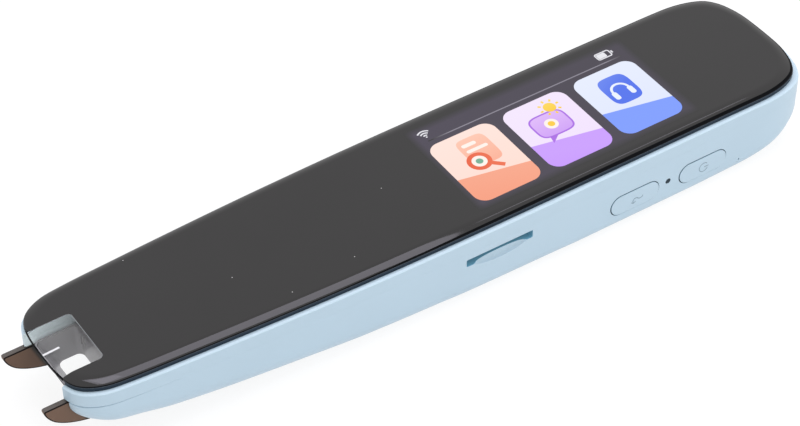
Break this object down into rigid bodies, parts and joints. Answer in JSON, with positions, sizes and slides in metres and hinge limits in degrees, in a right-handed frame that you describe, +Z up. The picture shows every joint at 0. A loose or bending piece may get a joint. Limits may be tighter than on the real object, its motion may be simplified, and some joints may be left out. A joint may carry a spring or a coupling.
{
  "type": "scanning pen",
  "caption": "Hand-held scanning pen with a tapered light blue casing, a long glass screen, a press-to-scan tip over its camera, side buttons, a card slot and a charging port.",
  "frame": {"origin": "under the middle of the whole pen, tip feet included, on the face that it lies on", "axes": "+X towards the tail with the charging port, +Z up through the screen, and the buttons and card slot on the -Y side"},
  "size_m": [0.1582, 0.0321, 0.0165],
  "materials": {
    "casing": "light blue moulded plastic, satin",
    "panel_glass": "black-backed cover glass, polished",
    "clear_pane": "clear, polished",
    "bezel": "dark navy, satin",
    "amber_plastic": "smoky brown, glossy",
    "smoke_plastic": "smoky grey, glossy",
    "display": "lit colour display behind the glass",
    "steel": "satin",
    "circuit_board": "green lacquer",
    "chip": "matte black",
    "black_plastic": "matte black",
    "white_plastic": "translucent white",
    "copper": "copper foil on film",
    "battery_foil": "matte pouch foil",
    "foam": "matte foam",
    "lens": "coated lens, polished"
  },
  "bodies": {
    "casing": {"lower_shell": "casing", "upper_frame": "casing", "cover_glass": "panel_glass", "viewing_window": "clear_pane", "panel_bezel": "bezel", "scan_hood": "smoke_plastic", "screen_panel": "display", "power_switch": "steel", "back_switch": "steel", "microphone": "steel", "shield_can": "steel", "radio_module": "steel", "card_socket": "steel", "charging_port": "steel", "case_screw_1": "steel", "case_screw_2": "steel", "case_screw_3": "steel", "case_screw_4": "steel", "case_screw_5": "steel", "case_screw_6": "steel", "board_screw_1": "steel", "board_screw_2": "steel", "board_screw_3": "steel", "camera_board": "circuit_board", "button_board": "circuit_board", "main_board": "circuit_board", "battery_board": "circuit_board", "processor": "chip", "memory_chip": "chip", "power_chip": "chip", "nib_switch": "black_plastic", "camera_body": "black_plastic", "reset_switch": "black_plastic", "charging_port_tongue": "black_plastic", "speaker": "black_plastic", "scan_led_left": "white_plastic", "scan_led_right": "white_plastic", "screen_backlight": "white_plastic", "battery_plug": "white_plastic", "camera_ribbon": "copper", "screen_ribbon": "copper", "aerial": "copper", "battery_cell": "battery_foil", "microphone_boot": "foam", "screen_tape": "foam", "battery_pad": "foam", "speaker_mesh": "foam", "camera_lens": "lens"},
    "nib": {"nib_frame": "amber_plastic", "nib_switch_stem": "white_plastic"},
    "power_key": {"power_button": "casing", "power_switch_stem": "black_plastic"},
    "back_key": {"back_button": "casing", "back_switch_stem": "black_plastic"}
  },
  "joints": [
    {"name": "nib_press", "type": "slide", "parent": "casing", "child": "nib", "axis": [1, 0, 0], "range_m": [0, 0.0008], "stiffness_N_per_m": 500, "springref_m": -0.001},
    {"name": "power_press", "type": "slide", "parent": "casing", "child": "power_key", "axis": [0, 1, 0], "range_m": [0, 0.0004], "stiffness_N_per_m": 1500, "springref_m": -0.0004},
    {"name": "back_press", "type": "slide", "parent": "casing", "child": "back_key", "axis": [0, 1, 0], "range_m": [0, 0.0004], "stiffness_N_per_m": 1500, "springref_m": -0.0004}
  ]
}
